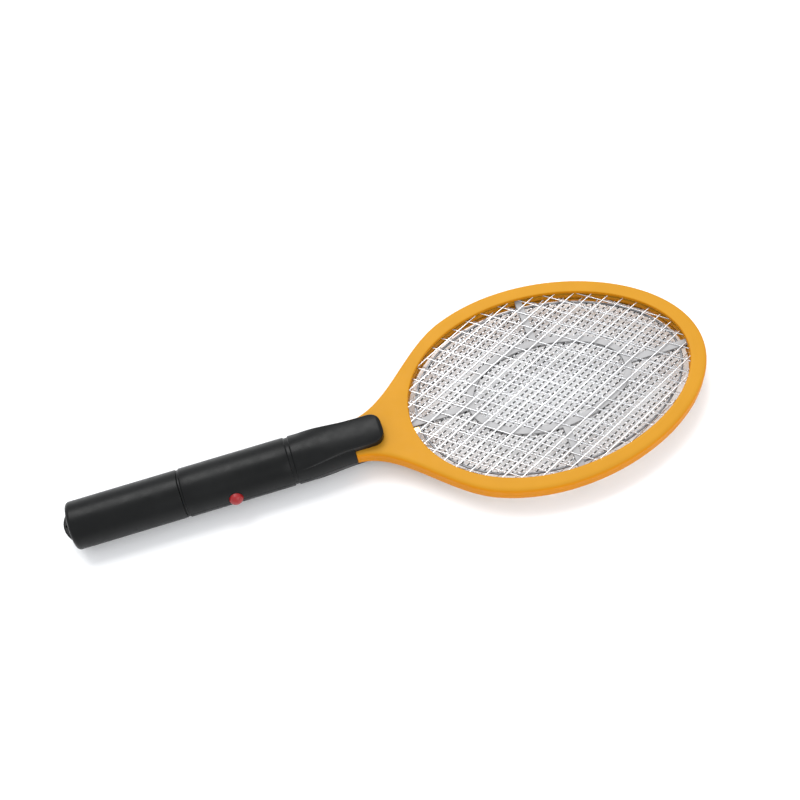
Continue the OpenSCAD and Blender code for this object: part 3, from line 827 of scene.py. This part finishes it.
def spacer(name, node, brace_node):
    """The ring in the wall of the opening, with notches for the spokes and for the grid's terminal."""
    low, high = span(node, 2)
    brace_low, brace_high = span(brace_node, 2)
    ring = oval_band((OPEN_A + SLOT_W, OPEN_B + SLOT_W), (OPEN_A, OPEN_B), low, high, 0.15)
    piece = build(name, ring)
    w = BRACE_W / 2 + 0.05
    levels = (brace_low - TINY, high + 1) if high > 0 else (low - 1, brace_high + TINY)
    reach = SPOKE_IN + 0.1
    lengthwise = brick((HEAD_X - OPEN_A - reach, HEAD_X + OPEN_A + reach), (-w, w), levels)
    crosswise = brick((HEAD_X - w, HEAD_X + w), (-OPEN_B - reach, OPEN_B + reach), levels)
    terminal_y = (-LEAD_Y - TERMINAL_HALF, -LEAD_Y + TERMINAL_HALF)
    terminal = brick((HEAD_X - OPEN_A - SLOT_W - 1, HEAD_X - OPEN_A + 2), terminal_y, (-0.5, 0.5))
    for cut in (lengthwise, crosswise, terminal):
        boolean(piece, cut, "DIFFERENCE")
    finish_piece(piece, YELLOW, "swatter", "yellow_plastic", node)


# Grip

def body_radius(x):
    """Radius of the grip shells along the axis."""
    radius = GRIP_R - (GRIP_R - MOUTH_R) * smoothstep(SWELL_X, MOUTH_X, x)
    for groove in (SHELL_X, GROOVE_X):
        radius -= GROOVE_DEPTH * (1 - smoothstep(GROOVE_FLOOR, GROOVE_HALF, abs(x - groove)))
    past = x - (MOUTH_X - MOUTH_ROUND)
    if past > 0:
        radius -= MOUTH_ROUND - math.sqrt(max(MOUTH_ROUND ** 2 - past ** 2, 0))
    return radius


def body_stations():
    """Places along the axis where the shells' radius is taken, close together where it changes."""
    fine = [SHELL_X + GROOVE_HALF * i / 12 for i in range(13)]
    coarse = [SHELL_X + GROOVE_HALF + (GROOVE_X - SHELL_X - 2 * GROOVE_HALF) * i / 12 for i in range(1, 12)]
    groove = [GROOVE_X + GROOVE_HALF * (i / 12 - 1) for i in range(25)]
    swell = [SWELL_X + (MOUTH_X - MOUTH_ROUND - SWELL_X) * i / 16 for i in range(17)]
    edge = [MOUTH_X - MOUTH_ROUND * (1 - math.sin(a)) for a in arc(15, 90, 5)]
    return fine + coarse + groove + swell + edge


def half_body():
    """The shell's outer form as a solid half round, cut off at the seam."""
    steps = 56
    rings = []
    for x in body_stations():
        r = body_radius(x)
        first = math.asin(SEAM / r)
        ring = [(x, r - SEAM, 0.0)]
        for k in range(steps + 1):
            turn = first + (math.pi - 2 * first) * k / steps
            ring.append((x, r * math.cos(turn), r * math.sin(turn)))
        ring.append((x, SEAM - r, 0.0))
        rings.append(ring)
    return skin(rings)


def tongue_radius(x):
    """Height of the tongue's crown along the axis: it dips gently, then rounds over at its end."""
    dip, end_length, end_drop, blunt = 2.0, 3.2, 2.4, 0.98
    radius = GRIP_R - dip * smoothstep(SWELL_X, TONGUE_X, x)
    reach = min(max((x - TONGUE_X + end_length) / end_length, 0.0), 1.0)
    return radius - end_drop * (1 - math.sqrt(1 - reach ** 2 * blunt))


def tongue_width(x):
    """Half width of the tongue, which spreads out where it grows from the grip."""
    past = x - (TONGUE_X - TONGUE_CORNER)
    if past <= 0:
        return TONGUE_HALF + TONGUE_SPREAD * (1 - smoothstep(SWELL_X, MOUTH_X, x))
    flat = TONGUE_HALF - TONGUE_CORNER
    return flat + math.sqrt(max(TONGUE_CORNER ** 2 - past ** 2, 0.0))


def tongue():
    """The raised tongue over the yoke: crowned across, with rounded sides and a round end."""
    start = SWELL_X - 4
    low, chamfer = HALF_T + 0.2, 0.3
    bend = TONGUE_X - TONGUE_CORNER
    stations = [start + (bend - start) * i / 26 for i in range(26)]
    stations += [bend + TONGUE_CORNER * math.sin(a) for a in arc(0, 88, 22)]
    rings = []
    for x in stations:
        w, f = tongue_width(x), TONGUE_EDGE
        r = GRIP_R + (TONGUE_CROWN - GRIP_R) * smoothstep(start, MOUTH_X, x)
        drop = r - tongue_radius(x)
        lean = math.asin(min((w - f) / (r - f), 0.99))
        centre = (r - f) * math.cos(lean) - drop
        side = [(w - chamfer, low), (w, low + chamfer)]
        for a in arc(0, 90 - math.degrees(lean), 6):
            side.append((w - f + f * math.cos(a), centre + f * math.sin(a)))
        crown = [(r * math.sin(a), r * math.cos(a) - drop) for a in arc(math.degrees(lean), 0, 9)][1:]
        right = side + crown
        left = [(-y, z) for y, z in right[-2::-1]]
        rings.append([(x, y, z) for y, z in right + left])
    return skin(rings)


def cavity():
    """The hollow inside both shells."""
    return revolve([
        (0, SHELL_X - 1), (BORE_R, SHELL_X - 1), (BORE_R, TANG_X - 10), (BORE_R - 2.2, MOUTH_X - 10),
        (BORE_R - 2.4, MOUTH_X - 2), (0, MOUTH_X - 2),
    ])


def shell_posts():
    """Posts for the grip's screws: two that press on the tang, and one by the button."""
    tang_post_r, other_r, steps = 4, 3.2, 48
    tang_posts = [rod(x, 0, HALF_T, 13.9, tang_post_r, steps) for x in SCREW_X[:2]]
    return join(*tang_posts, rod(SCREW_X[2], 0, 0, BORE_R + 0.6, other_r, steps))


def shell_screw_holes(lower):
    """The lower shell has stepped holes from outside, the upper one blind holes in its posts."""
    if not lower:
        holes = [rod(x, 0, HALF_T - 1, HALF_T + 5, GRIP_SCREW_R + 0.04) for x in SCREW_X[:2]]
        return holes + [rod(SCREW_X[2], 0, -1, 10, GRIP_SCREW_R + 0.04)]
    hole, counterbore = GRIP_SCREW_R + 0.2, 2.75
    stepped = [(0, -20), (counterbore, -20), (counterbore, -SCREW_SEAT)]
    stepped += [(hole, -SCREW_SEAT), (hole, 1), (0, 1)]
    holes = [revolve(stepped, 2, (x, 0, 0), 40) for x in SCREW_X]
    return holes + [rod(x, y, -12.5, -4.5, BOARD_SCREW_R) for x, y in board_posts()]


def shell_half(name, node, lower):
    """One half of the grip from the first groove to the end of its tongue."""
    turned_over = flipped if lower else (lambda s: s)
    piece = build(name, turned_over(half_body()))
    boolean(piece, turned_over(tongue()), "UNION")
    boolean(piece, cavity(), "DIFFERENCE")
    mouth = brick((MOUTH_X - 4, MOUTH_X + 1), (-TANG_HALF - 0.1, TANG_HALF + 0.1), (-1, HALF_T + 0.05))
    boolean(piece, turned_over(mouth), "DIFFERENCE")
    hole_r, reach = BUTTON_R + 0.3, 2 * GRIP_R
    hole = revolve([(0, -reach), (hole_r, -reach), (hole_r, 0), (0, 0)], 1, (BUTTON_X, 0, BUTTON_Z), 64)
    boolean(piece, hole, "DIFFERENCE")
    boolean(piece, turned_over(shell_posts()), "UNION")
    if lower:
        for x, y in board_posts():
            boolean(piece, rod(x, y, -13.4, span("circuit_board", 2)[0], BOARD_POST_R), "UNION")
    boolean(piece, join(*shell_screw_holes(lower)), "DIFFERENCE")
    finish_piece(piece, BLACK, "swatter", "black_plastic", node)


def board_posts():
    """Places of the two screws that hold the circuit board."""
    inset = 1.9
    low_x, high_x = span("board_screws", 0)
    low_y, high_y = span("board_screws", 1)
    return ((low_x + inset, high_y - inset), (high_x - inset, low_y + inset))


def battery_cap():
    """The sleeve over the battery bay."""
    lip = 0.7
    turned = [(CAP_R, CAP_START), (CAP_R, CAP_START + 25), (CAP_R, CAP_START + 50), (CAP_R, CAP_END - lip)]
    turned += [(CAP_R - lip * (1 - math.cos(a)), CAP_END - lip * (1 - math.sin(a))) for a in arc(15, 90, 5)]
    turned += [(CAP_BORE + 0.2, CAP_END), (CAP_BORE, CAP_END - 0.2), (CAP_BORE, CAP_START)]
    piece = build("cap_sleeve", revolve(turned, steps=128))
    finish_piece(piece, BLACK, "cap", "black_plastic", "battery_cap")


def lanyard_tab(face_x):
    """The half-round tab as a shape: a disc with rounded edges, cut off just inside the cap's face."""
    disc = [(0, -TAB_HALF)]
    for a in arc(90, 0, 5):
        disc.append((TAB_R - TAB_EDGE * (1 - math.cos(a)), -TAB_HALF + TAB_EDGE * (1 - math.sin(a))))
    for a in arc(0, 90, 5):
        disc.append((TAB_R - TAB_EDGE * (1 - math.cos(a)), TAB_HALF - TAB_EDGE * (1 - math.sin(a))))
    disc.append((0, TAB_HALF))
    tab = build("tab", revolve(disc, 2, (TAB_R, 0, 0), 160))
    boolean(tab, brick((face_x + 1, 40), (-20, 20), (-10, 10)), "DIFFERENCE")
    shape = ([tuple((v.co - ORIGIN) / MM) for v in tab.data.vertices],
             [list(p.vertices) for p in tab.data.polygons])
    bpy.data.objects.remove(tab)
    return shape


def cap_end():
    """The round end of the cap, with the lanyard tab and its hole."""
    face_x, wall = 5.0, 0.6
    corner = CAP_START - face_x
    profile = [(0, face_x), (CAP_R - corner, face_x)]
    for a in arc(0, 90, 10)[1:]:
        profile.append((CAP_R - corner * (1 - math.sin(a)), CAP_START - corner * math.cos(a)))
    profile += [(CAP_BORE, CAP_START), (CAP_BORE, CAP_START - wall), (0, CAP_START - wall)]
    piece = build("cap_tail", revolve(profile, steps=128))
    boolean(piece, lanyard_tab(face_x), "UNION")
    hole = rod(face_x - TAB_HOLE_IN, 0, -TAB_HALF - 1, TAB_HALF + 1, TAB_HOLE_R, 40)
    boolean(piece, hole, "DIFFERENCE")
    finish_piece(piece, BLACK, "cap", "black_plastic", "cap_end_plug")


def button_dome():
    """Profile of the button from the top of its dome to below the front of its flange."""
    dome_h, edge, steps, dome_share = 3.4, 0.35, 16, 0.94
    dome_r = (BUTTON_R ** 2 + dome_h ** 2) / (2 * dome_h)
    widest = math.asin(BUTTON_R / dome_r)
    profile = [(0, -BUTTON_OUT)]
    for i in range(1, steps + 1):
        a = widest * dome_share * i / steps
        profile.append((dome_r * math.sin(a), -BUTTON_OUT + dome_r * (1 - math.cos(a))))
    shoulder, foot = -BUTTON_OUT + dome_h, -FLANGE_FRONT + 0.5
    profile += [(BUTTON_R - 0.08, shoulder + 0.02), (BUTTON_R, shoulder + edge)]
    return profile + [(BUTTON_R, foot), (0, foot)]


def push_button():
    """Domed cap with a soft edge, on a flange that follows the bore of the grip."""
    centre = (BUTTON_X, 0, BUTTON_Z)
    rim = [(0, -FLANGE_FRONT), (FLANGE_R - 0.2, -FLANGE_FRONT), (FLANGE_R, -FLANGE_FRONT + 0.2)]
    rim += [(FLANGE_R, -BUTTON_BACK), (0, -BUTTON_BACK)]
    piece = build("button_dome", revolve(rim, 1, centre, 96))
    bore = BORE_R - 0.1
    ends = (BUTTON_X - 10, BUTTON_X + 10)
    inside = revolve([(0, ends[0]), (bore, ends[0]), (bore, ends[1]), (0, ends[1])], steps=192)
    boolean(piece, inside, "INTERSECT")
    boolean(piece, revolve(button_dome(), 1, centre, 96), "UNION")
    finish_piece(piece, RED, "button", "red_plastic", "power_button", edge=40)


def grip_screws():
    """The three screws that hold the shells together. Two of them pass through the tang."""
    ends = (HALF_T + 4.6, HALF_T + 4.6, 9.4)
    seat, head_r, head_h = -SCREW_SEAT - TINY, 2.6, 1.95
    shapes = []
    for x, end in zip(SCREW_X, ends):
        shapes.append(cross_screw(x, 0, seat, head_r, head_h, GRIP_SCREW_R, end))
    piece = build("grip_screws", join(*shapes))
    cut_crosses(piece, [(x, 0) for x in SCREW_X], seat - head_h, 3, 1.1)
    finish_piece(piece, ZINC, "swatter", "zinc_steel", "handle_screws")


def coil(name, node):
    """A battery spring: a slightly tapering helix of round wire in place of the CAD's plain sleeve."""
    x_low, x_high = span(node, 0)
    y, z = middle(node, 1), middle(node, 2)
    wire_r, turns, sides, taper = 0.32, 5.5, 10, 0.12
    widest = span(node, 1)[1] - y - wire_r
    steps = int(turns * 28)
    path = []
    for i in range(steps + 1):
        t = i / steps
        turn = 2 * math.pi * turns * t
        radius = widest * (1 - taper * t)
        x = x_low + wire_r + (x_high - x_low - 2 * wire_r) * smoothstep(0, 1, t)
        path.append(np.array((x, y + radius * math.cos(turn), z + radius * math.sin(turn))))
    rings = []
    for i, p in enumerate(path):
        along = path[min(i + 1, steps)] - path[max(i - 1, 0)]
        along /= np.linalg.norm(along)
        out = p - np.array((p[0], y, z))
        out -= along * out.dot(along)
        out /= np.linalg.norm(out)
        up = np.cross(along, out)
        rings.append([p + wire_r * (math.cos(a) * out + math.sin(a) * up)
                      for a in (2 * math.pi * k / sides for k in range(sides))])
    piece = build(name, skin(rings))
    finish_piece(piece, NICKEL, "swatter", "nickel_steel", node, edge=60)


def dress_cad_nodes():
    """CAD nodes whose shape stays, with their materials."""
    looks = {
        DARK: ["battery_tray"],
        cell_jacket(): ["cell_near", "cell_far"],
        NICKEL: ["tail_contact", "negative_contact", "positive_contact"],
        ZINC: ["board_screws"],
        BRASS: ["guard_terminal", "inner_terminal"],
        RED_LEAD: ["inner_lead", "positive_lead"],
        BLACK_LEAD: ["guard_lead", "negative_lead"],
        board_resin(): ["circuit_board"],
        FERRITE: ["transformer_core"],
        wound_tape(): ["transformer_winding"],
        dipped("capacitor_resin", (0.4, 0.05, 0.03)): ["storage_capacitor"],
        dipped("ceramic_blue", (0.03, 0.1, 0.35)): ["multiplier_capacitors"],
        COMPONENT: ["diodes", "transistor", "switch_housing"],
        resistor_body(): ["resistors"],
        WHITE: ["switch_plunger"],
    }
    for material, names in looks.items():
        for name in names:
            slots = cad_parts[name].data.materials
            slots.clear()
            slots.append(material)


# Studio. The camera was fitted to the outlines in the photo.

CAMERA_AIM = Vector((0.0153, 0.0211, 0.01725))
CAMERA_AZIMUTH, CAMERA_ELEVATION, CAMERA_ROLL = -8.23, 62.97, -9.23
CAMERA_DISTANCE = 1.0
CAMERA_LENS = 64.37


def add_camera():
    data = bpy.data.cameras.new("camera")
    data.lens = CAMERA_LENS
    data.clip_end = 20
    camera = bpy.data.objects.new("camera", data)
    bpy.context.collection.objects.link(camera)
    a, e = math.radians(CAMERA_AZIMUTH), math.radians(CAMERA_ELEVATION)
    back = Vector((math.sin(a) * math.cos(e), -math.cos(a) * math.cos(e), math.sin(e)))
    camera.location = CAMERA_AIM + back * CAMERA_DISTANCE
    camera.rotation_euler = back.to_track_quat("Z", "Y").to_euler()
    camera.rotation_euler.rotate_axis("Z", math.radians(CAMERA_ROLL))
    bpy.context.scene.camera = camera


def add_softbox(name, location, size, power):
    data = bpy.data.lights.new(name, "AREA")
    data.shape = "RECTANGLE"
    data.size, data.size_y = size
    data.energy = power
    light = bpy.data.objects.new(name, data)
    bpy.context.collection.objects.link(light)
    light.location = location
    aim = Vector((0.0, 0.0, 0.0)) - Vector(location)
    light.rotation_euler = aim.to_track_quat("-Z", "Y").to_euler()


def add_studio():
    world = bpy.data.worlds.new("studio")
    world.use_nodes = True
    background = world.node_tree.nodes["Background"]
    background.inputs["Color"].default_value = (0.95, 0.97, 1.0, 1)
    background.inputs["Strength"].default_value = 1.0
    bpy.context.scene.world = world
    add_softbox("key", (-0.15, 0.95, 1.6), (1.4, 1.0), 29)
    add_softbox("fill", (0.9, -1.3, 1.2), (1.6, 1.2), 12)


def add_floor():
    mesh = bpy.data.meshes.new("floor")
    half = 4.0
    corners = [(-half, -half, 0), (half, -half, 0), (half, half, 0), (-half, half, 0)]
    mesh.from_pydata(corners, [], [(0, 1, 2, 3)])
    mesh.materials.append(floor_material())
    floor = bpy.data.objects.new("floor", mesh)
    floor.location.z = cad_low.z - 0.0002
    bpy.context.collection.objects.link(floor)


add_camera()
bpy.context.scene.view_settings.view_transform = "Standard"
add_studio()
add_floor()

head_half("front_half", "frame_front", False)
head_half("back_half", "frame_back", True)
frame_screws()
net("front_net", "front_guard", WIRE, GUARD_PITCH, GUARD_WIRES, SLOT_W, GUARD_RIM_W, 0.0, 16)
net("back_net", "back_guard", WIRE, GUARD_PITCH, GUARD_WIRES, SLOT_W, GUARD_RIM_W, 0.5, 16)
net("live_net", "inner_grid", LIVE_WIRE, GRID_PITCH, GRID_WIRES, -GRID_GAP, GRID_RIM_W, 0.0, 12)
brace("brace_above", "front_brace")
brace("brace_below", "back_brace")
spacer("spacer_above", "front_spacer", "front_brace")
spacer("spacer_below", "back_spacer", "back_brace")
shell_half("upper_shell", "handle_upper", False)
shell_half("lower_shell", "handle_lower", True)
grip_screws()
battery_cap()
cap_end()
push_button()
coil("tail_coil", "tail_spring")
coil("front_coil", "front_spring")
dress_cad_nodes()
